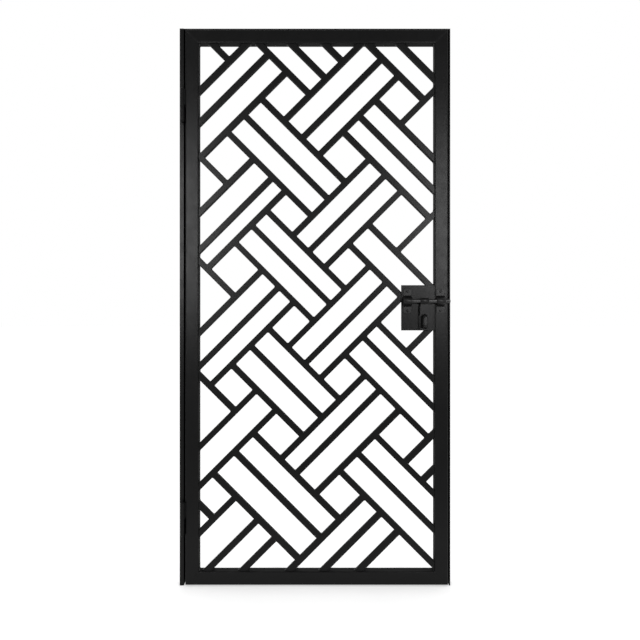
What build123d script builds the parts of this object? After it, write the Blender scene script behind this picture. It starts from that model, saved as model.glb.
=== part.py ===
from build123d import *
import os

# Security grille door: a welded leaf with a basket weave grille, hung in a three sided steel frame.
# All sizes are in millimetres. X runs from the hinge side to the lock side and Z is up.
# The front, which carries the bolt, faces -Y. The origin is the middle of the hinge jamb's foot.

# Frame fixed in the wall opening
overall_width = 1020.0
overall_height = 2100.0
frame_depth = 40.0
hinge_jamb_thickness = 15.0
hinge_stop_width = 22.5
angle_wall = 4.0
wall_hole_radius = 5.5
wall_hole_count = 4
wall_hole_end_inset = 150.0

# Gaps round the leaf
hinge_gap = 8.0
lock_gap = 6.0
head_gap = 4.0
floor_gap = 6.0
leaf_proud = 10.0

# Rectangular tube round the leaf
tube_width = 50.0
tube_depth = 40.0
tube_wall = 2.0
tube_corner = 4.0

# Square bars of the basket weave
bar_size = 22.0
bar_edge = 1.5
bar_recess = 6.0

# Middle line of each strip of bars, measured square to its bars from the middle of the opening.
# Rising bars run up to the right, and their strips are counted from the top left corner.
rising_middles = (-800.0, -485.0, -165.0, 115.0, 400.0, 720.0)
# Falling bars run down to the right, and their strips are counted from the top right corner.
falling_middles = (930.0, 630.0, 320.0, 40.0, -280.0, -605.0, -910.0)

# Bars of each strip where it passes over a crossing strip, as distances from the strip's middle line.
# A key is the strip and the crossing strip. The bars were set by hand, so their spacing varies.
rising_groups = {
    (0, 2): (-90.0, -5.0, 90.0),
    (1, 1): (-100.0, -5.0, 85.0),
    (1, 3): (-80.0, 20.0, 90.0),
    (2, 0): (-100.0,),
    (2, 2): (-90.0, -5.0, 80.0),
    (2, 4): (-80.0, 10.0, 90.0),
    (3, 1): (-50.0,),
    (3, 3): (-85.0, 5.0, 85.0),
    (3, 5): (-55.0, 50.0),
    (4, 2): (-40.0,),
    (4, 4): (-90.0, -10.0, 95.0),
    (4, 6): (-110.0, 10.0, 105.0),
    (5, 3): (-70.0, 25.0),
    (5, 5): (-90.0, 0.0, 95.0),
}
falling_groups = {
    (0, 1): (-90.0, -5.0),
    (1, 0): (-80.0, 5.0, 95.0),
    (1, 2): (-90.0, -5.0, 80.0),
    (2, -1): (105.0,),
    (2, 1): (-90.0, 0.0, 90.0),
    (2, 3): (-65.0, 40.0),
    (3, 0): (50.0,),
    (3, 2): (-85.0, 5.0, 85.0),
    (3, 4): (-90.0, 5.0, 80.0),
    (4, 1): (90.0,),
    (4, 3): (-100.0, 0.0, 95.0),
    (4, 5): (-95.0, 0.0, 95.0),
    (5, 2): (110.0,),
    (5, 4): (-115.0, 0.0, 100.0),
    (6, 3): (70.0,),
}

# Barrel hinges
barrel_radius = 8.0
barrel_length = 126.0
barrel_end_bevel = 2.0
hinge_axis_inset = 1.2
hinge_axis_proud = 20.0
hinge_pin_radius = 4.5
hinge_pin_play = 0.05
hinge_bore_end_wall = 6.0
hinge_seat_gap = 0.3
hinge_wing_thickness = 3.0
hinge_wing_depth = 28.0
hinge_foot_width = 8.0
upper_hinge_drop = 295.0
lower_hinge_rise = 256.0

# Lock plate between the stile and the bars
lock_plate_width = 126.0
lock_plate_height = 170.0
lock_plate_thickness = 6.0
lock_plate_below_bolt = 110.0

# Round bolt in two pipe guides
bolt_height = 1072.0
bolt_radius = 8.0
bolt_length = 170.0
bolt_tip_inset = 5.5
bolt_end_bevel = 1.5
bolt_standoff = 14.0
guide_play = 0.3
guide_pipe_wall = 3.7
guide_length = 31.0
guide_base_height = 88.0
guide_base_thickness = 3.0
guide_web_height = 16.0
outer_guide_inset = 14.0
inner_guide_inset = 7.0

# Handle that hangs from the bolt and drops over the staple
handle_eye_wall = 4.0
handle_eye_play = 0.05
handle_neck_width = 30.0
handle_neck_thickness = 8.0
handle_neck_length = 42.0
handle_neck_to_stile = 27.0
hasp_width = 47.0
hasp_thickness = 5.0
hasp_lead = 2.0
hasp_top_drop = 14.0
hasp_bottom_drop = 108.0
hasp_corner = 4.0
slot_width = 26.0
slot_height = 55.0
slot_top_drop = 49.0
slot_corner = 8.0
staple_width = 11.0
staple_thickness = 6.0
staple_height = 45.0
staple_reach = 36.0
staple_bend = 8.0
staple_side_play = 4.0
staple_top_play = 4.5

# Faces and middles that the pieces share
frame_front = -frame_depth / 2
frame_back = frame_depth / 2
frame_left = -hinge_jamb_thickness / 2
frame_right = frame_left + overall_width
hinge_jamb_inner = frame_left + hinge_jamb_thickness
lock_jamb_inner = frame_right - angle_wall
head_underside = overall_height - angle_wall
leaf_left = hinge_jamb_inner + hinge_gap
leaf_right = lock_jamb_inner - lock_gap
leaf_bottom = floor_gap
leaf_top = head_underside - head_gap
leaf_front = frame_front - leaf_proud
leaf_back = leaf_front + tube_depth
opening_left = leaf_left + tube_width
opening_right = leaf_right - tube_width
opening_bottom = leaf_bottom + tube_width
opening_top = leaf_top - tube_width
opening_middle_x = (opening_left + opening_right) / 2
opening_middle_z = (opening_bottom + opening_top) / 2
bar_front = leaf_front + bar_recess
bar_back = bar_front + bar_size
hinge_axis_x = hinge_jamb_inner - hinge_axis_inset
hinge_axis_y = frame_front - hinge_axis_proud
bolt_axis_y = leaf_front - bolt_standoff
bolt_tip = frame_right - bolt_tip_inset
neck_right = opening_right - handle_neck_to_stile
neck_left = neck_right - handle_neck_width
hasp_left = neck_left - hasp_lead
slot_top = bolt_height - slot_top_drop
staple_x = neck_left + slot_width - staple_side_play - staple_width / 2
staple_top = slot_top - staple_top_play


def block(low, high):
    """Return a box between two opposite corners."""
    size = [b - a for a, b in zip(low, high)]
    return Pos(*low) * Box(*size, align=(Align.MIN, Align.MIN, Align.MIN))


def upright_prism(points, front, back):
    """Return a flat outline of (x, z) points made solid from the front to the back."""
    outline = Polyline(*[(x, front, z) for x, z in points], close=True)
    return extrude(make_face(outline), amount=back - front, dir=(0, 1, 0))


def round_bar(start, direction, length, radius):
    """Return a round bar that starts at a point and runs along a direction."""
    plane = Plane(origin=start, z_dir=direction)
    return extrude(plane * Circle(radius), amount=length)


def save(shape, name):
    """Write one piece to its own file."""
    export_step(shape, "parts/" + name + ".step")


def wall_holes(x_low, x_high):
    """Return the drills that make the row of wall bolt holes in a jamb."""
    length = x_high - x_low
    pitch = (overall_height - 2 * wall_hole_end_inset) / (wall_hole_count - 1)
    heights = [wall_hole_end_inset + count * pitch for count in range(wall_hole_count)]
    return [round_bar((x_low, 0, z), (1, 0, 0), length, wall_hole_radius) for z in heights]


def make_frame():
    """Make the hinge jamb and its stop from flat bar, and the lock jamb and head from angle."""
    hinge_jamb = block((frame_left, frame_front, 0), (hinge_jamb_inner, frame_back, overall_height))
    hinge_jamb -= wall_holes(frame_left, hinge_jamb_inner)
    save(hinge_jamb, "hinge_jamb")

    stop_front = frame_back - angle_wall
    stop_left = frame_right - frame_depth
    stop_bottom = overall_height - frame_depth
    stop_right = hinge_jamb_inner + hinge_stop_width
    save(block((hinge_jamb_inner, stop_front, 0), (stop_right, frame_back, stop_bottom)), "hinge_stop")

    lock_jamb = block((lock_jamb_inner, frame_front, 0), (frame_right, frame_back, overall_height))
    lock_jamb += block((stop_left, stop_front, 0), (frame_right, frame_back, overall_height))
    lock_jamb -= wall_holes(lock_jamb_inner, frame_right)
    head = block((hinge_jamb_inner, frame_front, head_underside), (frame_right, frame_back, overall_height))
    head += block((hinge_jamb_inner, stop_front, stop_bottom), (frame_right, frame_back, overall_height))

    corner = (frame_right, overall_height)
    mitre_foot = (stop_left, stop_bottom)
    jamb_side = [(stop_left, 0), (frame_right, 0), corner, mitre_foot]
    head_side = [mitre_foot, corner, (hinge_jamb_inner, overall_height), (hinge_jamb_inner, stop_bottom)]
    save(lock_jamb & upright_prism(jamb_side, frame_front, frame_back), "lock_jamb")
    save(head & upright_prism(head_side, frame_front, frame_back), "head")


def tube(start, direction, across, length):
    """Return a rectangular tube whose width lies along a direction across its run."""
    plane = Plane(origin=start, x_dir=across, z_dir=direction)
    outside = RectangleRounded(tube_width, tube_depth, tube_corner)
    inner_corner = tube_corner - tube_wall
    inside = RectangleRounded(tube_width - 2 * tube_wall, tube_depth - 2 * tube_wall, inner_corner)
    return extrude(plane * (outside - inside), amount=length)


def make_leaf_frame():
    """Make the two stiles and two rails, mitred at the corners."""
    middle_y = (leaf_front + leaf_back) / 2
    half = tube_width / 2
    width = leaf_right - leaf_left
    height = leaf_top - leaf_bottom
    outer = [
        (leaf_left, leaf_bottom),
        (leaf_right, leaf_bottom),
        (leaf_right, leaf_top),
        (leaf_left, leaf_top),
    ]
    inner = [
        (opening_left, opening_bottom),
        (opening_right, opening_bottom),
        (opening_right, opening_top),
        (opening_left, opening_top),
    ]
    runs = {
        "bottom_rail": tube((leaf_left, middle_y, leaf_bottom + half), (1, 0, 0), (0, 0, 1), width),
        "lock_stile": tube((leaf_right - half, middle_y, leaf_bottom), (0, 0, 1), (1, 0, 0), height),
        "top_rail": tube((leaf_left, middle_y, leaf_top - half), (1, 0, 0), (0, 0, 1), width),
        "hinge_stile": tube((leaf_left + half, middle_y, leaf_bottom), (0, 0, 1), (1, 0, 0), height),
    }
    for side, (name, run) in enumerate(runs.items()):
        following = (side + 1) % 4
        outline = [outer[side], outer[following], inner[following], inner[side]]
        save(run & upright_prism(outline, leaf_front, leaf_back), name)


def weave_bar(rising, offset, low, high):
    """Return one square bar of the weave with eased edges, as long as its stretch along the strip."""
    along = 1 if rising else -1
    turn = Rot(0, -45 * along, 0)
    bar = Box(high - low, bar_size, bar_size)
    bar = chamfer(bar.edges().filter_by(Axis.X), bar_edge)
    place = Pos((high + low) / 2, 0, -offset if rising else offset)
    middle = Pos(opening_middle_x, bar_front + bar_size / 2, opening_middle_z)
    return middle * turn * place * bar


def make_grille():
    """Make the basket weave: each bar ends at the nearest bar of the strips that cover its own."""
    reach = leaf_top
    bars = []
    for (strip, crossed), offsets in rising_groups.items():
        above = falling_groups.get((crossed - 1, strip))
        below = falling_groups.get((crossed + 1, strip))
        high = falling_middles[crossed - 1] + min(above) if above else reach
        low = falling_middles[crossed + 1] + max(below) if below else -reach
        bars += [weave_bar(True, rising_middles[strip] + offset, low, high) for offset in offsets]
    for (strip, crossed), offsets in falling_groups.items():
        before = rising_groups.get((crossed - 1, strip))
        after = rising_groups.get((crossed + 1, strip))
        low = rising_middles[crossed - 1] + max(before) if before else -reach
        high = rising_middles[crossed + 1] + min(after) if after else reach
        bars += [weave_bar(False, falling_middles[strip] + offset, low, high) for offset in offsets]
    window = block((opening_left, bar_front, opening_bottom), (opening_right, bar_back, opening_top))
    grille = bars[0].fuse(*bars[1:]) & window
    save(grille, "grille")


def hinge_barrel(bottom, length, outer_edge):
    """Return one half of a hinge barrel, bevelled at its outer edge: 0 is the lowest and -1 the highest."""
    barrel = round_bar((hinge_axis_x, hinge_axis_y, bottom), (0, 0, 1), length, barrel_radius)
    rims = barrel.edges().filter_by(GeomType.CIRCLE).sort_by(Axis.Z)
    return chamfer(rims[outer_edge], barrel_end_bevel)


def make_hinge(height, name):
    """Make one barrel hinge: the jamb's half, the pin that stands in it, and the leaf's half."""
    half_length = (barrel_length - hinge_seat_gap) / 2
    jamb_bottom = height - barrel_length / 2
    leaf_half_bottom = jamb_bottom + half_length + hinge_seat_gap
    bore_length = half_length - hinge_bore_end_wall
    bore_radius = hinge_pin_radius + hinge_pin_play
    pin_bottom = jamb_bottom + hinge_bore_end_wall
    pin_start = (hinge_axis_x, hinge_axis_y, pin_bottom)
    up = (0, 0, 1)

    jamb_half = hinge_barrel(jamb_bottom, half_length, 0)
    foot_low = (hinge_jamb_inner - hinge_foot_width, hinge_axis_y, jamb_bottom + barrel_end_bevel)
    foot_high = (hinge_jamb_inner, frame_front, jamb_bottom + half_length - barrel_end_bevel)
    jamb_half += block(foot_low, foot_high)
    jamb_half -= round_bar(pin_start, up, bore_length, bore_radius)
    save(jamb_half, name + "_jamb_half")
    save(round_bar(pin_start, up, 2 * bore_length, hinge_pin_radius), name + "_pin")

    leaf_half = hinge_barrel(leaf_half_bottom, half_length, -1)
    wing_low = (leaf_left - hinge_wing_thickness, hinge_axis_y, leaf_half_bottom + barrel_end_bevel)
    wing_high = (
        leaf_left,
        hinge_axis_y + hinge_wing_depth,
        leaf_half_bottom + half_length - barrel_end_bevel,
    )
    leaf_half += block(wing_low, wing_high)
    leaf_half -= round_bar((hinge_axis_x, hinge_axis_y, leaf_half_bottom), up, bore_length, bore_radius)
    save(leaf_half, name + "_leaf_half")


def make_lock_plate():
    """Make the flat plate that fills the grille beside the lock stile."""
    bottom = bolt_height - lock_plate_below_bolt
    low = (opening_right - lock_plate_width, leaf_front, bottom)
    high = (opening_right, leaf_front + lock_plate_thickness, bottom + lock_plate_height)
    save(block(low, high), "lock_plate")


def make_guide(left, name):
    """Make one bolt guide: a short pipe on a flat base."""
    inner_radius = bolt_radius + guide_play
    outer_radius = inner_radius + guide_pipe_wall
    start = (left, bolt_axis_y, bolt_height)
    half_base = guide_base_height / 2
    half_web = guide_web_height / 2
    base_front = leaf_front - guide_base_thickness
    right = left + guide_length
    guide = round_bar(start, (1, 0, 0), guide_length, outer_radius)
    base_low = (left, base_front, bolt_height - half_base)
    guide += block(base_low, (right, leaf_front, bolt_height + half_base))
    guide += block((left, bolt_axis_y, bolt_height - half_web), (right, base_front, bolt_height + half_web))
    guide -= round_bar(start, (1, 0, 0), guide_length, inner_radius)
    save(guide, name)


def make_bolt():
    """Make the sliding bolt, a round bar with bevelled ends."""
    start = (bolt_tip - bolt_length, bolt_axis_y, bolt_height)
    bolt = round_bar(start, (1, 0, 0), bolt_length, bolt_radius)
    ends = bolt.edges().filter_by(GeomType.CIRCLE)
    save(chamfer(ends, bolt_end_bevel), "bolt")


def make_handle():
    """Make the hanging handle: an eye round the bolt, a neck, and a slotted hasp."""
    bore_radius = bolt_radius + handle_eye_play
    eye_start = (neck_left, bolt_axis_y, bolt_height)
    eye = round_bar(eye_start, (1, 0, 0), handle_neck_width, bore_radius + handle_eye_wall)
    half_neck = handle_neck_thickness / 2
    neck_low = (neck_left, bolt_axis_y - half_neck, bolt_height - handle_neck_length)
    neck = block(neck_low, (neck_right, bolt_axis_y + half_neck, bolt_height))

    half_hasp = hasp_thickness / 2
    hasp_low = (hasp_left, bolt_axis_y - half_hasp, bolt_height - hasp_bottom_drop)
    hasp_high = (hasp_left + hasp_width, bolt_axis_y + half_hasp, bolt_height - hasp_top_drop)
    hasp = block(hasp_low, hasp_high)
    hasp = fillet(hasp.edges().filter_by(Axis.Y), hasp_corner)
    slot_low = (neck_left, bolt_axis_y - half_neck, slot_top - slot_height)
    slot = block(slot_low, (neck_left + slot_width, bolt_axis_y + half_neck, slot_top))
    slot = fillet(slot.edges().filter_by(Axis.Y), slot_corner)
    handle = eye + neck + hasp - slot
    handle -= round_bar(eye_start, (1, 0, 0), handle_neck_width, bore_radius)
    save(handle, "handle")


def make_staple():
    """Make the padlock staple, a flat bar bent to a loop that stands through the hasp's slot."""
    half_thickness = staple_thickness / 2
    high = staple_top - half_thickness
    low = staple_top - staple_height + half_thickness
    reach = leaf_front - staple_reach + half_thickness
    corners = [
        (staple_x, leaf_front, high),
        (staple_x, reach, high),
        (staple_x, reach, low),
        (staple_x, leaf_front, low),
    ]
    route = FilletPolyline(*corners, radius=staple_bend)
    plane = Plane(origin=corners[0], x_dir=(1, 0, 0), z_dir=(0, -1, 0))
    section = plane * Rectangle(staple_width, staple_thickness)
    save(sweep(section, path=route), "staple")


os.makedirs("parts", exist_ok=True)
make_frame()
make_leaf_frame()
make_grille()
make_hinge(overall_height - upper_hinge_drop, "upper_hinge")
make_hinge(lower_hinge_rise, "lower_hinge")
make_lock_plate()
make_guide(opening_right - lock_plate_width + inner_guide_inset, "inner_guide")
make_guide(leaf_right - outer_guide_inset - guide_length, "outer_guide")
make_bolt()
make_handle()
make_staple()
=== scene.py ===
"""The looks of a steel security grille door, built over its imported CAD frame.

The CAD nodes carry the main shapes. This script gives them soft edges and a painted finish, adds the
welds, straps and rivets that hold them together, and sets them in a plain pale studio. Lengths are
in metres, powers in watts, and the angles among a class's fields in degrees.
"""

import logging
import math
from dataclasses import dataclass, field
from enum import Enum
from typing import Sequence

import bmesh
import bpy
from mathutils import Matrix, Vector

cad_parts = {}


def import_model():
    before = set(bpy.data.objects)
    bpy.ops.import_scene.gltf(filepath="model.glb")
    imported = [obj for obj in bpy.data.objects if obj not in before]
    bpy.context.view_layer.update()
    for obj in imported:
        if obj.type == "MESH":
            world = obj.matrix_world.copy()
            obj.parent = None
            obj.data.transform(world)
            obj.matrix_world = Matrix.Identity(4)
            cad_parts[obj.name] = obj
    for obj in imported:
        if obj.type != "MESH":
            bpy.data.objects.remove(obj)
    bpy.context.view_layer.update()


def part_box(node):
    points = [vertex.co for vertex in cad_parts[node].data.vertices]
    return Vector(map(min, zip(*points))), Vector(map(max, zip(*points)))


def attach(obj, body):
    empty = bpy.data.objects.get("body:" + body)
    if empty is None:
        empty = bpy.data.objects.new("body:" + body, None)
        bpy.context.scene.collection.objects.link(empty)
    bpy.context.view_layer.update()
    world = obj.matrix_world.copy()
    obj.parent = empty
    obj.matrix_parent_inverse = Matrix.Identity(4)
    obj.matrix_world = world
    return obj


log = logging.getLogger("grille_door")

# Vertices no further apart than this are one.
TOUCHING = 0.00002

# Faces that meet at less than the first are one flat face, and edges that turn more than the second
# are sharp.
FLAT_TURN = math.radians(1.0)
SHARP_TURN = math.radians(40.0)

# The two ends of a value before or after it is mapped.
WHOLE = (0.0, 1.0)
REVERSED = (1.0, 0.0)
SOFT_STEP = (0.3, 0.7)
FIRM_STEP = (0.35, 0.65)

# How far a rounded edge's normal agrees with its face's, from the edge itself to the flat beside it.
EDGE_AGREEMENT = (0.86, 0.995)
EDGE_SAMPLES = 6

# The part of a face's normal that points forwards or back, from a side face to a front one.
FRONT_SHARE = (0.2, 0.65)

TO_THE_FRONT = Vector((0.0, -1.0, 0.0))
TO_THE_BACK = Vector((0.0, 1.0, 0.0))


class Body(str, Enum):
    """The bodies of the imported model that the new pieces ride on."""

    FRAME = "frame"
    LEAF = "leaf"


class Slot(str, Enum):
    """The record's material slots; no new piece takes its finish from them."""

    FRAME = "frame_paint"
    LEAF = "leaf_paint"


class NodeSheet:
    """The node tree of one material, with short calls to add and join its nodes."""

    def __init__(self, name: str) -> None:
        """Start an empty material.

        Args:
            name: the material's name.
        """
        self.material = bpy.data.materials.new(name)
        self.material.use_nodes = True
        self.tree = self.material.node_tree
        self.tree.nodes.clear()

    def add(self, kind: str, **settings: object) -> bpy.types.Node:
        """Add a node and set its properties.

        Args:
            kind: the node's type, without its ShaderNode prefix.
            settings: the properties to set on the node.

        Returns:
            The new node.
        """
        node = self.tree.nodes.new("ShaderNode" + kind)
        for name, value in settings.items():
            setattr(node, name, value)
        return node

    def join(self, source: bpy.types.NodeSocket, target: bpy.types.NodeSocket) -> None:
        """Link an output to an input."""
        self.tree.links.new(source, target)

    def noise(self, scale: float, detail: float) -> bpy.types.NodeSocket:
        """Add noise on the piece's own coordinates.

        Args:
            scale: the number of cells a metre.
            detail: the number of finer layers.

        Returns:
            The noise's value.
        """
        place = self.add("TexCoord")
        noise = self.add("TexNoise")
        noise.inputs["Scale"].default_value = scale
        noise.inputs["Detail"].default_value = detail
        self.join(place.outputs["Object"], noise.inputs["Vector"])
        return noise.outputs["Fac"]

    def spread(self, value: bpy.types.NodeSocket, reach: tuple[float, float],
               result: tuple[float, float]) -> bpy.types.NodeSocket:
        """Map a value's reach smoothly to another.

        Args:
            value: the value to map.
            reach: the value's two ends.
            result: what those ends become.

        Returns:
            The mapped value.
        """
        node = self.add("MapRange", interpolation_type="SMOOTHSTEP")
        node.inputs["From Min"].default_value = reach[0]
        node.inputs["From Max"].default_value = reach[1]
        node.inputs["To Min"].default_value = result[0]
        node.inputs["To Max"].default_value = result[1]
        self.join(value, node.inputs["Value"])
        return node.outputs["Result"]

    def combine(self, operation: str, first: bpy.types.NodeSocket,
                second: bpy.types.NodeSocket) -> bpy.types.NodeSocket:
        """Combine two values.

        Args:
            operation: the Math node's operation.
            first: the first value.
            second: the second value.

        Returns:
            The result.
        """
        node = self.add("Math", operation=operation)
        self.join(first, node.inputs[0])
        self.join(second, node.inputs[1])
        return node.outputs["Value"]

    def blend(self, share: bpy.types.NodeSocket, first: Sequence[float] | bpy.types.NodeSocket,
              second: Sequence[float]) -> bpy.types.NodeSocket:
        """Mix two colours.

        Args:
            share: how much of the second shows.
            first: a colour, or the output that gives it.
            second: the other colour.

        Returns:
            The mixed colour.
        """
        node = self.add("Mix", data_type="RGBA")
        self.join(share, node.inputs["Factor"])
        colours = [socket for socket in node.inputs if socket.type == "RGBA"]
        if isinstance(first, bpy.types.NodeSocket):
            self.join(first, colours[0])
        else:
            colours[0].default_value = (*first, 1.0)
        colours[1].default_value = (*second, 1.0)
        return next(socket for socket in node.outputs if socket.type == "RGBA")

    def edges(self, reach: float) -> bpy.types.NodeSocket:
        """Find the outer edges of the piece.

        Args:
            reach: how far from an edge it counts.

        Returns:
            A value that is 1 on an edge and 0 on a flat face.
        """
        bevel = self.add("Bevel", samples=EDGE_SAMPLES)
        bevel.inputs["Radius"].default_value = reach
        flat = self.add("NewGeometry")
        dot = self.add("VectorMath", operation="DOT_PRODUCT")
        self.join(bevel.outputs["Normal"], dot.inputs[0])
        self.join(flat.outputs["Normal"], dot.inputs[1])
        return self.spread(dot.outputs["Value"], EDGE_AGREEMENT, REVERSED)

    def turned_aside(self) -> bpy.types.NodeSocket:
        """Find the faces that look neither to the front nor to the back.

        Returns:
            A value that is 1 on the sides of a piece and 0 on its front and back.
        """
        place = self.add("TexCoord")
        split = self.add("SeparateXYZ")
        self.join(place.outputs["Normal"], split.inputs["Vector"])
        size = self.add("Math", operation="ABSOLUTE")
        self.join(split.outputs["Y"], size.inputs[0])
        return self.spread(size.outputs["Value"], FRONT_SHARE, REVERSED)

    def bump(self, height: bpy.types.NodeSocket, depth: float) -> bpy.types.NodeSocket:
        """Raise the surface by a height.

        Args:
            height: the height, from 0 to 1.
            depth: what 1 stands for, in metres.

        Returns:
            The new normal.
        """
        node = self.add("Bump")
        node.inputs["Strength"].default_value = 1.0
        node.inputs["Distance"].default_value = depth
        self.join(height, node.inputs["Height"])
        return node.outputs["Normal"]

    def close(self, surface: bpy.types.NodeSocket) -> bpy.types.Material:
        """Join the last shader to the material's output.

        Args:
            surface: the shader's output.

        Returns:
            The finished material.
        """
        out = self.add("OutputMaterial")
        self.join(surface, out.inputs["Surface"])
        return self.material


@dataclass(frozen=True)
class SatinPaint:
    """Black paint sprayed from front and back: thin along the edges and dry on the side faces."""

    name: str
    colour: tuple[float, float, float] = (0.0016, 0.0016, 0.0017)
    dusty: tuple[float, float, float] = (0.0028, 0.0028, 0.0029)
    edge: tuple[float, float, float] = (0.008, 0.008, 0.008)
    roughness: tuple[float, float] = (0.31, 0.36)
    specular: float = 0.17
    dry: float = 0.50
    peel: float = 0.00006
    edge_reach: float = 0.0010
    thinning: float = 0.07
    chipping: tuple[float, float] = (0.25, 1.0)
    drift_scale: float = 5.0
    chip_scale: float = 130.0
    cloud_scale: float = 28.0
    peel_scale: float = 420.0

    def make(self) -> bpy.types.Material:
        """Make the paint's material.

        Returns:
            The material.
        """
        sheet = NodeSheet(self.name)
        shader = sheet.add("BsdfPrincipled")
        shader.inputs["Specular IOR Level"].default_value = self.specular
        drift = sheet.spread(sheet.noise(self.drift_scale, detail=5.0), SOFT_STEP, WHOLE)
        paint = sheet.blend(drift, self.colour, self.dusty)
        broken = sheet.spread(sheet.noise(self.chip_scale, detail=3.0), FIRM_STEP, self.chipping)
        worn = sheet.combine("MULTIPLY", sheet.edges(self.edge_reach), broken)
        sheet.join(sheet.blend(worn, paint, self.edge), shader.inputs["Base Color"])
        cloudy = sheet.spread(sheet.noise(self.cloud_scale, detail=4.0), SOFT_STEP, self.roughness)
        thin = sheet.spread(worn, WHOLE, (0.0, self.thinning))
        sprayed = sheet.combine("SUBTRACT", cloudy, thin)
        dry = sheet.spread(sheet.turned_aside(), WHOLE, (0.0, self.dry))
        sheet.join(sheet.combine("ADD", sprayed, dry), shader.inputs["Roughness"])
        ripples = sheet.bump(sheet.noise(self.peel_scale, detail=2.0), self.peel)
        sheet.join(ripples, shader.inputs["Normal"])
        return sheet.close(shader.outputs["BSDF"])


@dataclass(frozen=True)
class PaintedWeld:
    """The same paint over weld metal, with the arc's small ripples under it."""

    name: str
    colour: tuple[float, float, float] = (0.0024, 0.0024, 0.0025)
    bright: tuple[float, float, float] = (0.006, 0.006, 0.006)
    worn: tuple[float, float, float] = (0.011, 0.011, 0.011)
    roughness: tuple[float, float] = (0.34, 0.48)
    specular: float = 0.14
    ripple: float = 0.0003
    edge_reach: float = 0.0005
    patch_step: tuple[float, float] = (0.35, 0.7)
    patch_scale: float = 160.0
    gloss_scale: float = 240.0
    ripple_scale: float = 500.0

    def make(self) -> bpy.types.Material:
        """Make the weld's material.

        Returns:
            The material.
        """
        sheet = NodeSheet(self.name)
        shader = sheet.add("BsdfPrincipled")
        shader.inputs["Specular IOR Level"].default_value = self.specular
        patches = sheet.spread(sheet.noise(self.patch_scale, detail=3.0), self.patch_step, WHOLE)
        paint = sheet.blend(patches, self.colour, self.bright)
        crests = sheet.edges(self.edge_reach)
        sheet.join(sheet.blend(crests, paint, self.worn), shader.inputs["Base Color"])
        gloss = sheet.spread(sheet.noise(self.gloss_scale, detail=3.0), SOFT_STEP, self.roughness)
        sheet.join(gloss, shader.inputs["Roughness"])
        lumps = sheet.bump(sheet.noise(self.ripple_scale, detail=3.0), self.ripple)
        sheet.join(lumps, shader.inputs["Normal"])
        return sheet.close(shader.outputs["BSDF"])


@dataclass(frozen=True)
class GreasedSteel:
    """Bright turned steel under a film of grease, for the hinge pins."""

    name: str
    clean: tuple[float, float, float] = (0.32, 0.31, 0.30)
    greasy: tuple[float, float, float] = (0.09, 0.08, 0.065)
    worn: tuple[float, float, float] = (0.45, 0.44, 0.43)
    roughness: tuple[float, float] = (0.24, 0.45)
    edge_reach: float = 0.0005
    film_scale: float = 90.0
    turning_scale: float = 700.0
    turning_depth: float = 0.00003

    def make(self) -> bpy.types.Material:
        """Make the steel's material.

        Returns:
            The material.
        """
        sheet = NodeSheet(self.name)
        shader = sheet.add("BsdfPrincipled")
        shader.inputs["Metallic"].default_value = 1.0
        film = sheet.spread(sheet.noise(self.film_scale, detail=4.0), FIRM_STEP, WHOLE)
        steel = sheet.blend(film, self.clean, self.greasy)
        rubbed = sheet.edges(self.edge_reach)
        sheet.join(sheet.blend(rubbed, steel, self.worn), shader.inputs["Base Color"])
        sheet.join(sheet.spread(film, WHOLE, self.roughness), shader.inputs["Roughness"])
        turned = sheet.bump(sheet.noise(self.turning_scale, detail=2.0), self.turning_depth)
        sheet.join(turned, shader.inputs["Normal"])
        return sheet.close(shader.outputs["BSDF"])


@dataclass
class Finishes:
    """Every finish on the door, made once."""

    frame: bpy.types.Material
    leaf: bpy.types.Material
    bars: bpy.types.Material
    lock: bpy.types.Material
    guides: bpy.types.Material
    bolt: bpy.types.Material
    handle: bpy.types.Material
    staple: bpy.types.Material
    weld: bpy.types.Material
    pin: bpy.types.Material

    @classmethod
    def mix(cls) -> "Finishes":
        """Make the finishes.

        Returns:
            The set of finishes.
        """
        return cls(
            frame=SatinPaint("frame_satin_black").make(),
            leaf=SatinPaint("leaf_satin_black").make(),
            bars=SatinPaint("bar_satin_black", colour=(0.0024, 0.0024, 0.0025),
                            dusty=(0.0036, 0.0036, 0.0037), roughness=(0.33, 0.39),
                            edge_reach=0.0008).make(),
            lock=SatinPaint("lock_satin_black").make(),
            guides=SatinPaint("guide_rubbed_black", roughness=(0.36, 0.42), specular=0.28,
                              edge=(0.014, 0.014, 0.014)).make(),
            bolt=SatinPaint("bolt_rubbed_black", roughness=(0.34, 0.40), specular=0.55, dry=0.0,
                            edge=(0.02, 0.02, 0.02)).make(),
            handle=SatinPaint("handle_satin_black", roughness=(0.33, 0.39), specular=0.21,
                              edge=(0.014, 0.014, 0.014)).make(),
            staple=SatinPaint("staple_rubbed_black", roughness=(0.34, 0.40), specular=0.34,
                              edge=(0.02, 0.02, 0.02)).make(),
            weld=PaintedWeld("painted_weld").make(),
            pin=GreasedSteel("greased_pin_steel").make(),
        )


def deselect_all() -> None:
    """Leave object mode's selection empty."""
    bpy.ops.object.select_all(action="DESELECT")


def placed(start: Vector, end: Vector, facing: Vector) -> Matrix:
    """Work out the place of a piece that was modelled up +Z from the origin.

    Args:
        start: where the piece's foot goes.
        end: the point that it runs towards.
        facing: the side that its +Y turns to.

    Returns:
        The matrix that puts it there.
    """
    up = (end - start).normalized()
    side = facing.cross(up).normalized()
    front = up.cross(side)
    turn = Matrix((side, front, up)).transposed().to_4x4()
    return Matrix.Translation(start) @ turn


def dress(piece: bpy.types.Object, body: Body, finish: bpy.types.Material) -> None:
    """Give a new piece its finish and body.

    Args:
        piece: the new piece.
        body: the body that it moves with.
        finish: its material.
    """
    piece.data.materials.clear()
    piece.data.materials.append(finish)
    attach(piece, body.value)
    log.info("%s rides on %s with %d faces", piece.name, body.value, len(piece.data.polygons))


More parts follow.
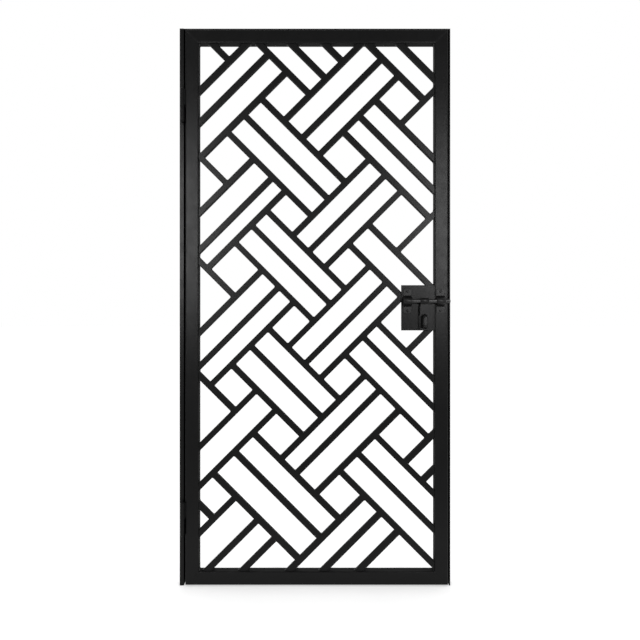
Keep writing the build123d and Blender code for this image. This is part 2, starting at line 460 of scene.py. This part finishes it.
def paint_node(name: str, finish: bpy.types.Material) -> None:
    """Give a CAD node its finish.

    Args:
        name: the node.
        finish: its material.
    """
    node = bpy.data.objects[name]
    node.data.materials.clear()
    node.data.materials.append(finish)
    log.info("%s is finished in %s", name, finish.name)


def ease_edges(name: str, width: float, segments: int = 2) -> None:
    """Round the sharp edges of a CAD node with live modifiers.

    Args:
        name: the node.
        width: the width of the rounding.
        segments: the number of faces across it.
    """
    node = bpy.data.objects[name]
    weld = node.modifiers.new("join_faces", "WELD")
    weld.merge_threshold = TOUCHING
    flat = node.modifiers.new("flat_faces", "DECIMATE")
    flat.decimate_type = "DISSOLVE"
    flat.angle_limit = FLAT_TURN
    bevel = node.modifiers.new("eased_edges", "BEVEL")
    bevel.width = width
    bevel.segments = segments
    bevel.limit_method = "ANGLE"
    bevel.angle_limit = SHARP_TURN
    bevel.harden_normals = True
    bevel.use_clamp_overlap = True


@dataclass(frozen=True)
class WeldRun:
    """One run of weld: a low rippled bead with tapered ends."""

    radius: float
    pitch: float = 0.0035
    flatness: float = 1.0
    sides: int = 8
    dip: float = 0.86
    first_share: float = 0.45
    last_share: float = 0.4
    smooth_turn: float = 60.0

    def model(self, length: float) -> bpy.types.Object:
        """Model the run up +Z from the origin.

        Args:
            length: the length of the run.

        Returns:
            The bead.
        """
        steps = max(2, round(length / self.pitch))
        step = length / steps
        deselect_all()
        bpy.ops.mesh.primitive_circle_add(
            vertices=self.sides, radius=self.radius * self.first_share, fill_type="NGON",
            location=(0.0, 0.0, 0.0))
        bead = bpy.context.active_object
        bpy.ops.object.mode_set(mode="EDIT")
        bpy.ops.mesh.select_mode(type="FACE")
        bpy.ops.mesh.select_all(action="SELECT")
        now = self.first_share
        for ring in range(2 * steps):
            height = step * (ring + 1) / 2
            if ring == 2 * steps - 1:
                wanted = self.last_share
            else:
                wanted = 1.0 if ring % 2 == 0 else self.dip
            bpy.ops.mesh.extrude_region_move(
                TRANSFORM_OT_translate={"value": (0.0, 0.0, step / 2)})
            grow = wanted / now
            bpy.ops.transform.resize(value=(grow, grow, 1.0), center_override=(0.0, 0.0, height))
            now = wanted
        bpy.ops.mesh.select_all(action="SELECT")
        bpy.ops.transform.resize(value=(1.0, self.flatness, 1.0), center_override=(0.0, 0.0, 0.0))
        bpy.ops.mesh.normals_make_consistent(inside=False)
        bpy.ops.object.mode_set(mode="OBJECT")
        bpy.ops.object.shade_smooth_by_angle(angle=math.radians(self.smooth_turn))
        return bead

    def lay(self, start: Vector, end: Vector, facing: Vector) -> bpy.types.Object:
        """Model the run between two points.

        Args:
            start: where the run starts.
            end: where it ends.
            facing: the side that it stands proud on.

        Returns:
            The bead in its place.
        """
        bead = self.model((end - start).length)
        bead.data.transform(placed(start, end, facing))
        return bead


def joined(name: str, parts: Sequence[bpy.types.Object]) -> bpy.types.Object:
    """Join finished parts to one piece.

    Args:
        name: the piece's name.
        parts: the parts, each with its place in its mesh.

    Returns:
        The piece.
    """
    deselect_all()
    for part in parts:
        part.select_set(True)
    bpy.context.view_layer.objects.active = parts[0]
    if len(parts) > 1:
        bpy.ops.object.join()
    piece = bpy.context.view_layer.objects.active
    piece.name = name
    piece.data.name = name
    return piece


def copied(pattern: bpy.types.Object, places: Sequence[Matrix]) -> list[bpy.types.Object]:
    """Copy a modelled pattern to several places, each copy with its own mesh.

    Args:
        pattern: the pattern, modelled at the origin, which is then removed.
        places: where the copies go.

    Returns:
        The copies.
    """
    copies = []
    for place in places:
        twin = pattern.copy()
        twin.data = pattern.data.copy()
        twin.data.transform(place)
        bpy.context.scene.collection.objects.link(twin)
        copies.append(twin)
    bpy.data.objects.remove(pattern)
    return copies


@dataclass
class WallFrame:
    """The three sided frame in the wall opening: hinge jamb, lock jamb and head."""

    finishes: Finishes
    bar_edge: float = 0.0007
    angle_edge: float = 0.0019
    seam_radius: float = 0.0028
    seam_flatness: float = 0.12
    fillet_radius: float = 0.0020
    wall: float = 0.004
    stop_weld_radius: float = 0.0016
    stop_weld_length: float = 0.030
    stop_weld_count: int = 8
    stop_weld_flatness: float = 0.5
    stop_weld_sink: float = 0.0009
    mitre_inset: float = 0.001
    butt_inset: float = 0.002
    fillet_inset: float = 0.004

    def build(self) -> None:
        """Dress the frame's nodes and add its welds."""
        for name, edge in (("hinge_jamb", self.bar_edge), ("hinge_stop", self.bar_edge),
                           ("lock_jamb", self.angle_edge), ("head", self.angle_edge)):
            paint_node(name, self.finishes.frame)
            ease_edges(name, edge, segments=3)
        self.add_corner_welds()
        self.add_stop_welds()

    def add_corner_welds(self) -> None:
        """Weld the head to both jambs on the leaf's side, so that the outside stays flush."""
        _, jamb_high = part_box("hinge_jamb")
        head_low, head_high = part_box("head")
        lock_low, lock_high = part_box("lock_jamb")
        stop_face = head_high.y - self.wall
        inner_x, inner_z = lock_high.x - self.wall, head_high.z - self.wall
        seam = WeldRun(self.seam_radius, flatness=self.seam_flatness)
        mitre_foot = Vector((lock_low.x + self.mitre_inset, stop_face,
                             head_low.z + self.mitre_inset))
        butt_foot = Vector((jamb_high.x, stop_face, head_low.z + self.butt_inset))
        parts = [seam.lay(mitre_foot, Vector((inner_x, stop_face, inner_z)), TO_THE_FRONT),
                 seam.lay(butt_foot, Vector((jamb_high.x, stop_face, inner_z)), TO_THE_FRONT)]
        fillet = WeldRun(self.fillet_radius)
        for x, towards in ((inner_x, -1.0), (jamb_high.x, 1.0)):
            parts.append(fillet.lay(Vector((x, head_low.y + self.fillet_inset, inner_z)),
                                    Vector((x, stop_face, inner_z)),
                                    Vector((towards, 0.0, -1.0))))
        piece = joined("frame_corner_welds", parts)
        dress(piece, Body.FRAME, self.finishes.weld)

    def add_stop_welds(self) -> None:
        """Tack the stop to the hinge jamb with short runs along its back."""
        low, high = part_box("hinge_stop")
        run = WeldRun(self.stop_weld_radius, flatness=self.stop_weld_flatness)
        spacing = (high.z - low.z) / self.stop_weld_count
        y = high.y - self.stop_weld_sink
        tacks = []
        for count in range(self.stop_weld_count):
            middle = low.z + spacing * (count + 0.5)
            tacks.append(run.lay(Vector((low.x, y, middle - self.stop_weld_length / 2)),
                                 Vector((low.x, y, middle + self.stop_weld_length / 2)),
                                 TO_THE_BACK))
        piece = joined("stop_tack_welds", tacks)
        dress(piece, Body.FRAME, self.finishes.weld)


@dataclass
class LeafFrame:
    """The four box tubes round the leaf, mitred and welded at the corners."""

    finishes: Finishes
    seam_radius: float = 0.0026
    seam_flatness: float = 0.05
    inner_radius: float = 0.0030
    tube_corner: float = 0.0040

    def build(self) -> None:
        """Dress the tubes and add the corner welds."""
        for name in ("hinge_stile", "lock_stile", "top_rail", "bottom_rail"):
            paint_node(name, self.finishes.leaf)
        self.add_corner_welds()

    def add_corner_welds(self) -> None:
        """Weld each mitre: flush on both faces, and with a fillet in the inner corner."""
        outer_low, outer_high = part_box("hinge_stile")
        lock_low, lock_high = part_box("lock_stile")
        top_low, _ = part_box("top_rail")
        _, bottom_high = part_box("bottom_rail")
        sides = ((outer_low.x, outer_high.x), (lock_high.x, lock_low.x))
        ends = ((outer_low.z, bottom_high.z), (outer_high.z, top_low.z))
        front, back = outer_low.y, outer_high.y
        seam = WeldRun(self.seam_radius, flatness=self.seam_flatness)
        fillet = WeldRun(self.inner_radius)
        parts = []
        for outer_x, inner_x in sides:
            for outer_z, inner_z in ends:
                corner = Vector((outer_x, 0.0, outer_z))
                inner = Vector((inner_x, 0.0, inner_z))
                reach = (inner - corner).normalized() * self.tube_corner
                for face, facing in ((front, TO_THE_FRONT), (back, TO_THE_BACK)):
                    shift = Vector((0.0, face, 0.0))
                    parts.append(seam.lay(corner + reach + shift, inner - reach + shift, facing))
                parts.append(fillet.lay(inner + Vector((0.0, front + self.tube_corner, 0.0)),
                                        inner + Vector((0.0, back - self.tube_corner, 0.0)),
                                        inner - corner))
        piece = joined("leaf_corner_welds", parts)
        dress(piece, Body.LEAF, self.finishes.weld)


@dataclass
class Grille:
    """The basket weave of square bars, with a bead in every corner where bars meet."""

    finishes: Finishes
    bead_radius: float = 0.0030
    bead_pitch: float = 0.0064
    end_radius: float = 0.0036
    bead_sides: int = 7
    shortest: float = 0.010
    squareness: float = 0.999
    rim_reach: float = 0.0002
    least_turn: float = 10.0
    end_gap: float = 0.001
    thinnest: float = 0.85
    thickness_range: float = 0.3
    thickness_stride: int = 37
    thickness_steps: int = 11

    def build(self) -> None:
        """Dress the bars and add their welds."""
        paint_node("grille", self.finishes.bars)
        low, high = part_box("grille")
        joints, ends = self.corner_lines(low, high)
        self.add_beads("bar_joint_welds", joints, self.bead_radius, high.y - low.y)
        self.add_beads("bar_end_welds", ends, self.end_radius, high.y - low.y)

    def corner_lines(self, low: Vector, high: Vector) -> tuple[list[Vector], list[Vector]]:
        """Find the lines, square to the leaf, in which the bars' sides meet what they are welded to.

        Args:
            low: the grille's lowest corner.
            high: its highest corner.

        Returns:
            The middle of each inner corner between two bars, and of each between a bar and a tube.
        """
        mesh = bmesh.new()
        mesh.from_mesh(bpy.data.objects["grille"].data)
        bmesh.ops.remove_doubles(mesh, verts=mesh.verts, dist=TOUCHING)
        joints: list[Vector] = []
        ends: list[Vector] = []
        least = math.radians(self.least_turn)
        for edge in mesh.edges:
            first, second = (vert.co for vert in edge.verts)
            run = second - first
            if abs(run.y) < self.shortest or abs(run.y) < self.squareness * run.length:
                continue
            if len(edge.link_faces) != 2:
                continue
            middle = (first + second) / 2
            turn = edge.calc_face_angle_signed(0.0)
            nearest = min(abs(middle.x - low.x), abs(middle.x - high.x),
                          abs(middle.z - low.z), abs(middle.z - high.z))
            if nearest < self.rim_reach:
                if turn > least:
                    ends.append(middle)
            elif turn < -least:
                joints.append(middle)
        mesh.free()
        log.info("the weave has %d bar joints and %d bar ends to weld", len(joints), len(ends))
        return joints, ends

    def add_beads(self, name: str, middles: Sequence[Vector], radius: float,
                  depth: float) -> None:
        """Lay one short bead in each corner.

        Args:
            name: the name of the piece.
            middles: the middles of the corners.
            radius: the bead's radius.
            depth: the depth of the bars.
        """
        length = depth - 2 * self.end_gap
        pattern = WeldRun(radius, pitch=self.bead_pitch, sides=self.bead_sides).model(length)
        places = []
        for count, middle in enumerate(middles):
            step = (count * self.thickness_stride) % self.thickness_steps
            thick = self.thinnest + self.thickness_range * step / (self.thickness_steps - 1)
            start = middle - TO_THE_BACK * length / 2
            turn = Vector((math.cos(count), 0.0, math.sin(count)))
            place = placed(start, middle, turn)
            places.append(place @ Matrix.Diagonal((thick, thick, 1.0, 1.0)))
        piece = joined(name, copied(pattern, places))
        dress(piece, Body.LEAF, self.finishes.weld)


@dataclass
class BarrelHinge:
    """One weld-on hinge: two barrels on a pin, one welded to the jamb and one to the leaf."""

    name: str
    finishes: Finishes
    bead_radius: float = 0.0024
    pitch: float = 0.0040
    foot_width: float = 0.008
    side_inset: float = 0.003
    end_inset: float = 0.002
    corner_inset: float = 0.001
    wing_sink: tuple[float, float] = (0.0008, 0.0012)
    wing_inset: float = 0.004

    def build(self) -> None:
        """Dress the hinge's nodes and add its welds."""
        paint_node(self.name + "_jamb_half", self.finishes.frame)
        paint_node(self.name + "_leaf_half", self.finishes.leaf)
        paint_node(self.name + "_pin", self.finishes.pin)
        self.add_jamb_weld()
        self.add_leaf_weld()

    def add_jamb_weld(self) -> None:
        """Weld the lower barrel's foot to the front of the jamb."""
        low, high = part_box(self.name + "_jamb_half")
        jamb_low, jamb_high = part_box("hinge_jamb")
        left, right = jamb_high.x - self.foot_width, jamb_high.x - self.corner_inset
        run = WeldRun(self.bead_radius, pitch=self.pitch)
        parts = [run.lay(Vector((left, jamb_low.y, low.z + self.side_inset)),
                         Vector((left, jamb_low.y, high.z - self.side_inset)),
                         Vector((-1.0, -1.0, 0.0)))]
        for end in (low.z + self.end_inset, high.z - self.end_inset):
            parts.append(run.lay(Vector((left, jamb_low.y, end)),
                                 Vector((right, jamb_low.y, end)), TO_THE_FRONT))
        piece = joined(self.name + "_jamb_weld", parts)
        dress(piece, Body.FRAME, self.finishes.weld)

    def add_leaf_weld(self) -> None:
        """Weld the upper barrel's wing to the side of the hinge stile."""
        low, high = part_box(self.name + "_leaf_half")
        stile_low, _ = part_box("hinge_stile")
        run = WeldRun(self.bead_radius, pitch=self.pitch)
        x = stile_low.x + self.wing_sink[0]
        y = stile_low.y + self.wing_sink[1]
        side = run.lay(Vector((x, y, low.z + self.wing_inset)),
                       Vector((x, y, high.z - self.wing_inset)), Vector((1.0, -1.0, 0.0)))
        piece = joined(self.name + "_leaf_weld", [side])
        dress(piece, Body.LEAF, self.finishes.weld)


@dataclass
class Lock:
    """The lock plate with its two bolt guides and the padlock staple."""

    finishes: Finishes
    edge: float = 0.0008
    rivet_radius: float = 0.0046
    rivet_height: float = 0.0022
    rivet_inset: float = 0.0075
    rivet_sides: int = 20
    rivet_rim_share: float = 0.9
    rivet_dome_share: float = 0.85
    rivet_turn: float = 50.0
    base_thickness: float = 0.003
    foot_weld_radius: float = 0.0015
    foot_weld_pitch: float = 0.0024
    plate_seam_radius: float = 0.0016
    plate_seam_flatness: float = 0.25
    plate_seam_sink: float = 0.0002
    plate_seam_inset: float = 0.001
    staple_thickness: float = 0.006
    strap_thickness: float = 0.0024
    strap_reach: float = 0.021
    strap_inset: float = 0.0006
    strap_edge: float = 0.0005
    pipe_radius: float = 0.0121

    def build(self) -> None:
        """Dress the lock's nodes on the leaf and add its straps, rivets and welds."""
        for name, finish in (("lock_plate", self.finishes.lock), ("staple", self.finishes.staple),
                             ("inner_guide", self.finishes.guides),
                             ("outer_guide", self.finishes.guides)):
            paint_node(name, finish)
            ease_edges(name, self.edge)
        for name in ("inner_guide", "outer_guide"):
            self.add_strap(name)
        self.add_rivets()
        self.add_staple_welds()
        self.add_plate_seam()

    def model_rivet(self) -> bpy.types.Object:
        """Model one domed rivet head, standing up +Z from the origin.

        Returns:
            The rivet head.
        """
        deselect_all()
        bpy.ops.mesh.primitive_cylinder_add(
            vertices=self.rivet_sides, radius=self.rivet_radius, depth=self.rivet_height,
            location=(0.0, 0.0, self.rivet_height / 2))
        rivet = bpy.context.active_object
        bpy.ops.object.transform_apply(location=True, rotation=False, scale=False)
        bpy.ops.object.mode_set(mode="EDIT")
        bpy.ops.mesh.select_mode(type="EDGE")
        bpy.ops.mesh.select_all(action="DESELECT")
        mesh = bmesh.from_edit_mesh(rivet.data)
        rim = self.rivet_height * self.rivet_rim_share
        for edge in mesh.edges:
            edge.select = all(vert.co.z > rim for vert in edge.verts)
        bmesh.update_edit_mesh(rivet.data)
        bpy.ops.mesh.bevel(offset=self.rivet_height * self.rivet_dome_share, segments=4, profile=0.5)
        bpy.ops.object.mode_set(mode="OBJECT")
        bpy.ops.object.shade_smooth_by_angle(angle=math.radians(self.rivet_turn))
        return rivet

    def add_rivets(self) -> None:
        """Put a rivet at each end of both guides' bases."""
        plate_low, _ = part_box("lock_plate")
        up = Vector((0.0, 0.0, 1.0))
        places = []
        for name in ("inner_guide", "outer_guide"):
            low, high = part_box(name)
            x = (low.x + high.x) / 2
            for z in (low.z + self.rivet_inset, high.z - self.rivet_inset):
                start = Vector((x, plate_low.y - self.base_thickness, z))
                places.append(placed(start, start + TO_THE_FRONT, up))
        piece = joined("guide_rivets", copied(self.model_rivet(), places))
        dress(piece, Body.LEAF, self.finishes.lock)

    def model_strap_leg(self, width: float, length: float) -> bpy.types.Object:
        """Model one flat leg of a pipe strap, its outer face down on z = 0 and its foot at y = 0.

        Args:
            width: the strap's width, along X.
            length: how far the leg runs along Y.

        Returns:
            The leg.
        """
        deselect_all()
        bpy.ops.mesh.primitive_plane_add(size=1.0, location=(0.0, 0.0, 0.0))
        leg = bpy.context.active_object
        bpy.ops.object.mode_set(mode="EDIT")
        bpy.ops.mesh.select_all(action="SELECT")
        bpy.ops.transform.resize(value=(width, length, 1.0), center_override=(0.0, 0.0, 0.0))
        bpy.ops.transform.translate(value=(0.0, length / 2, 0.0))
        bpy.ops.mesh.extrude_region_move(
            TRANSFORM_OT_translate={"value": (0.0, 0.0, self.strap_thickness)})
        bpy.ops.mesh.select_all(action="SELECT")
        bpy.ops.mesh.normals_make_consistent(inside=False)
        bpy.ops.mesh.bevel(offset=self.strap_edge, segments=2, profile=0.5)
        bpy.ops.object.mode_set(mode="OBJECT")
        bpy.ops.object.shade_smooth_by_angle(angle=SHARP_TURN)
        return leg

    def add_strap(self, name: str) -> None:
        """Add the strap whose two legs run down from a guide's pipe to its base.

        Args:
            name: the guide's node.
        """
        low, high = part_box(name)
        middle_x, middle_z = (low.x + high.x) / 2, (low.z + high.z) / 2
        base_y = high.y - self.base_thickness
        axis_y = low.y + self.pipe_radius
        away = math.hypot(base_y - axis_y, self.strap_reach)
        length = math.sqrt(away ** 2 - self.pipe_radius ** 2)
        lean = math.atan2(self.strap_reach, base_y - axis_y) - math.asin(self.pipe_radius / away)
        legs = []
        for side in (-1.0, 1.0):
            foot = Vector((middle_x, base_y, middle_z + side * self.strap_reach))
            along = Vector((0.0, -math.cos(lean), -side * math.sin(lean)))
            inward = Vector((0.0, math.sin(lean), -side * math.cos(lean)))
            place = Matrix((Vector((side, 0.0, 0.0)), along, inward)).transposed().to_4x4()
            leg = self.model_strap_leg(high.x - low.x - 2 * self.strap_inset, length)
            leg.data.transform(Matrix.Translation(foot) @ place)
            legs.append(leg)
        piece = joined(name + "_strap", legs)
        dress(piece, Body.LEAF, self.finishes.lock)

    def add_staple_welds(self) -> None:
        """Run a weld round both feet of the flat bar staple."""
        low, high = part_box("staple")
        plate_low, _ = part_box("lock_plate")
        run = WeldRun(self.foot_weld_radius, pitch=self.foot_weld_pitch)
        parts = []
        for foot_low, foot_high in ((low.z, low.z + self.staple_thickness),
                                    (high.z - self.staple_thickness, high.z)):
            corners = [Vector((x, plate_low.y, z)) for x, z in (
                (low.x, foot_low), (high.x, foot_low), (high.x, foot_high), (low.x, foot_high))]
            for count, corner in enumerate(corners):
                parts.append(run.lay(corner, corners[(count + 1) % len(corners)], TO_THE_FRONT))
        piece = joined("staple_welds", parts)
        dress(piece, Body.LEAF, self.finishes.weld)

    def add_plate_seam(self) -> None:
        """Weld the plate to the side of the lock stile, flush in front."""
        low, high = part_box("lock_plate")
        y = low.y + self.plate_seam_sink
        run = WeldRun(self.plate_seam_radius, flatness=self.plate_seam_flatness)
        seam = run.lay(Vector((high.x, y, low.z + self.plate_seam_inset)),
                       Vector((high.x, y, high.z - self.plate_seam_inset)), TO_THE_FRONT)
        piece = joined("lock_plate_weld", [seam])
        dress(piece, Body.LEAF, self.finishes.weld)


@dataclass
class BoltAndHandle:
    """The sliding bolt and the slotted handle that hangs from it."""

    finishes: Finishes
    edge: float = 0.0009

    def build(self) -> None:
        """Dress the bolt and the handle."""
        paint_node("bolt", self.finishes.bolt)
        paint_node("handle", self.finishes.handle)
        ease_edges("handle", self.edge)


@dataclass
class Studio:
    """A pale studio: a floor, two tall soft lamps in front and a camera at the photo's place."""

    distance: float = 2.3
    eye_height: float = 1.05
    width_seen: float = 2.4128
    sensor: float = 36.0
    picture_width: float = 640.0
    middle_px: tuple[float, float] = (314.97, 307.0)
    lamp_turn: float = 14.0
    lamp_distance: float = 1.9
    lamp_height: float = 1.60
    lamp_size: tuple[float, float] = (0.40, 1.10)
    lamp_power: float = 11.0
    lamp_spread: float = 140.0
    front_grey: float = 0.42
    room_fade: tuple[float, float] = (-0.5, 0.3)
    floor_size: float = 60.0
    floor_colour: float = 0.8
    floor_lift: float = 0.45
    floor_fade: tuple[float, float] = (-1.6, -0.40)
    middle: Vector = field(init=False)
    half_width: float = field(init=False)

    def build(self) -> None:
        """Set the floor, the world, the lamps and the camera."""
        low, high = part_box("hinge_jamb")
        _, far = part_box("lock_jamb")
        self.middle = Vector(((low.x + far.x) / 2, low.y, self.eye_height))
        self.half_width = (far.x - low.x) / 2
        self.add_floor()
        self.add_world()
        for side in (-1.0, 1.0):
            self.add_lamp(side)
        self.add_camera()
        view = bpy.context.scene.view_settings
        view.view_transform = "Standard"

    def add_floor(self) -> None:
        """Lay a wide pale floor, lifted towards white at and behind the door for the camera and gloss."""
        deselect_all()
        bpy.ops.mesh.primitive_plane_add(size=self.floor_size, location=(0.0, 0.0, 0.0))
        floor = bpy.context.active_object
        floor.name = "floor"
        sheet = NodeSheet("pale_floor")
        matt = sheet.add("BsdfDiffuse")
        matt.inputs["Color"].default_value = (self.floor_colour,) * 3 + (1.0,)
        glow = sheet.add("Emission")
        path = sheet.add("LightPath")
        seen = sheet.combine("MAXIMUM", path.outputs["Is Camera Ray"], path.outputs["Is Glossy Ray"])
        seen = sheet.combine("MAXIMUM", seen, path.outputs["Is Transmission Ray"])
        place = sheet.add("TexCoord")
        split = sheet.add("SeparateXYZ")
        sheet.join(place.outputs["Object"], split.inputs["Vector"])
        near = sheet.spread(split.outputs["Y"], self.floor_fade, (0.0, self.floor_lift))
        sheet.join(sheet.combine("MULTIPLY", seen, near), glow.inputs["Strength"])
        both = sheet.add("AddShader")
        sheet.join(matt.outputs["BSDF"], both.inputs[0])
        sheet.join(glow.outputs["Emission"], both.inputs[1])
        floor.data.materials.append(sheet.close(both.outputs["Shader"]))

    def add_world(self) -> None:
        """Make the world white behind the door and pale grey in front of it."""
        world = bpy.data.worlds.new("studio_room")
        world.use_nodes = True
        bpy.context.scene.world = world
        tree = world.node_tree
        tree.nodes.clear()
        place = tree.nodes.new("ShaderNodeTexCoord")
        split = tree.nodes.new("ShaderNodeSeparateXYZ")
        ramp = tree.nodes.new("ShaderNodeMapRange")
        ramp.interpolation_type = "SMOOTHSTEP"
        ramp.inputs["From Min"].default_value = self.room_fade[0]
        ramp.inputs["From Max"].default_value = self.room_fade[1]
        ramp.inputs["To Min"].default_value = self.front_grey
        ramp.inputs["To Max"].default_value = 1.0
        room = tree.nodes.new("ShaderNodeBackground")
        room.inputs["Color"].default_value = (1.0, 1.0, 1.0, 1.0)
        out = tree.nodes.new("ShaderNodeOutputWorld")
        tree.links.new(place.outputs["Generated"], split.inputs["Vector"])
        tree.links.new(split.outputs["Y"], ramp.inputs["Value"])
        tree.links.new(ramp.outputs["Result"], room.inputs["Strength"])
        tree.links.new(room.outputs["Background"], out.inputs["Surface"])

    def add_lamp(self, side: float) -> None:
        """Add a tall soft lamp in front of one side of the door.

        Args:
            side: -1 for the left and 1 for the right.
        """
        data = bpy.data.lights.new("soft_lamp", "AREA")
        data.shape = "RECTANGLE"
        data.size, data.size_y = self.lamp_size
        data.energy = self.lamp_power
        data.spread = math.radians(self.lamp_spread)
        lamp = bpy.data.objects.new("soft_lamp", data)
        stile = self.middle + Vector((side * self.half_width, 0.0, 0.0))
        turn = math.radians(self.lamp_turn)
        place = stile + Vector((side * math.sin(turn), -math.cos(turn), 0.0)) * self.lamp_distance
        place.z = self.lamp_height
        lamp.location = place
        aim = Vector((stile.x, stile.y, self.lamp_height)) - place
        lamp.rotation_euler = aim.to_track_quat("-Z", "Y").to_euler()
        lamp.visible_camera = False
        bpy.context.scene.collection.objects.link(lamp)

    def add_camera(self) -> None:
        """Put the camera where the photo was taken from."""
        data = bpy.data.cameras.new("camera")
        data.sensor_fit = "HORIZONTAL"
        data.sensor_width = self.sensor
        data.lens = self.sensor * self.distance / self.width_seen
        half = self.picture_width / 2
        data.shift_x = (half - self.middle_px[0]) / self.picture_width
        data.shift_y = -(half - self.middle_px[1]) / self.picture_width
        camera = bpy.data.objects.new("camera", data)
        camera.location = self.middle + Vector((0.0, -self.distance, 0.0))
        camera.rotation_euler = (math.radians(90.0), 0.0, 0.0)
        bpy.context.scene.collection.objects.link(camera)
        bpy.context.scene.camera = camera


def main() -> None:
    """Build the door's looks and its studio."""
    logging.basicConfig(level=logging.INFO, format="%(name)s: %(message)s")
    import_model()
    finishes = Finishes.mix()
    assemblies = (
        WallFrame(finishes),
        LeafFrame(finishes),
        Grille(finishes),
        BarrelHinge("upper_hinge", finishes),
        BarrelHinge("lower_hinge", finishes),
        Lock(finishes),
        BoltAndHandle(finishes),
        Studio(),
    )
    for assembly in assemblies:
        assembly.build()
    log.info("the sizes are written")


if __name__ == "__main__":
    main()
